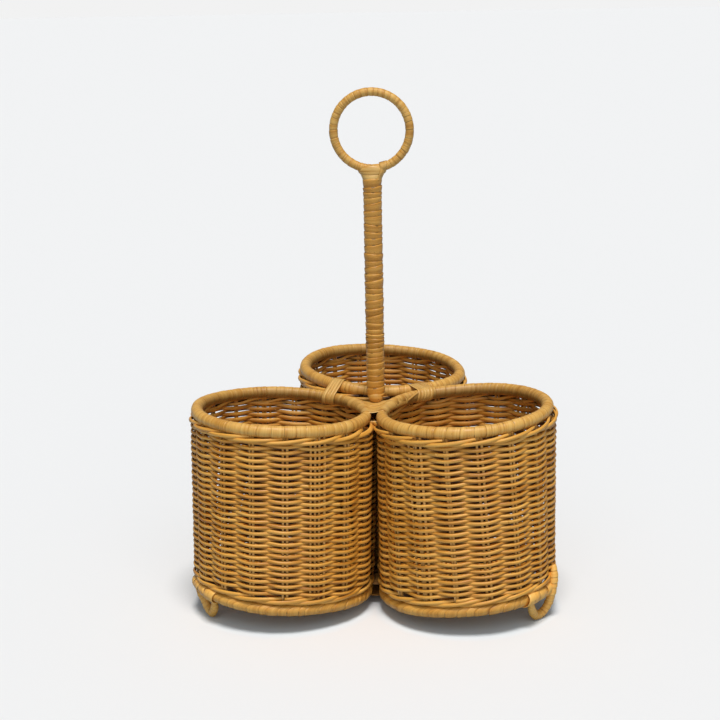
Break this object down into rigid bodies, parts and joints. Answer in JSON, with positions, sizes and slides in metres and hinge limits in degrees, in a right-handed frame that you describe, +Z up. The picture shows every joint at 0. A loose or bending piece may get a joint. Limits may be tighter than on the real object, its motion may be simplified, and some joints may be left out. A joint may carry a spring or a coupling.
{
  "type": "wine bottle basket",
  "caption": "Woven rattan bottle carrier: round cups in a triangle round a cane-wrapped post with a ring handle, on small loop feet.",
  "frame": {"origin": "on the floor, under the middle of the basket's box", "axes": "+Z up along the post; +Y from the two front cups towards the back cup; +X to the right, seen from the front"},
  "size_m": [0.2264, 0.2118, 0.3207],
  "materials": {
    "weave": "satin",
    "stakes": "satin",
    "cane_wrap": "satin",
    "post_cane": "satin",
    "ties": "satin"
  },
  "bodies": {
    "root": {"left_cage": "stakes", "right_cage": "stakes", "back_cage": "stakes", "left_weaver": "weave", "right_weaver": "weave", "back_weaver": "weave", "left_lower_wale": "weave", "right_lower_wale": "weave", "back_lower_wale": "weave", "left_upper_wale": "weave", "right_upper_wale": "weave", "back_upper_wale": "weave", "left_base_mat": "weave", "right_base_mat": "weave", "back_base_mat": "weave", "left_rim": "cane_wrap", "right_rim": "cane_wrap", "back_rim": "cane_wrap", "left_base_hoop": "cane_wrap", "right_base_hoop": "cane_wrap", "back_base_hoop": "cane_wrap", "left_foot": "cane_wrap", "right_foot": "cane_wrap", "back_foot": "cane_wrap", "post_core": "stakes", "post_wrap": "post_cane", "post_socket": "ties", "ring_handle": "cane_wrap", "ring_binding": "ties", "hub_saddle": "ties", "left_rim_lashing": "ties", "right_rim_lashing": "ties", "left_hoop_lashing": "ties", "right_hoop_lashing": "ties", "front_hoop_lashing": "ties"}
  },
  "joints": []
}
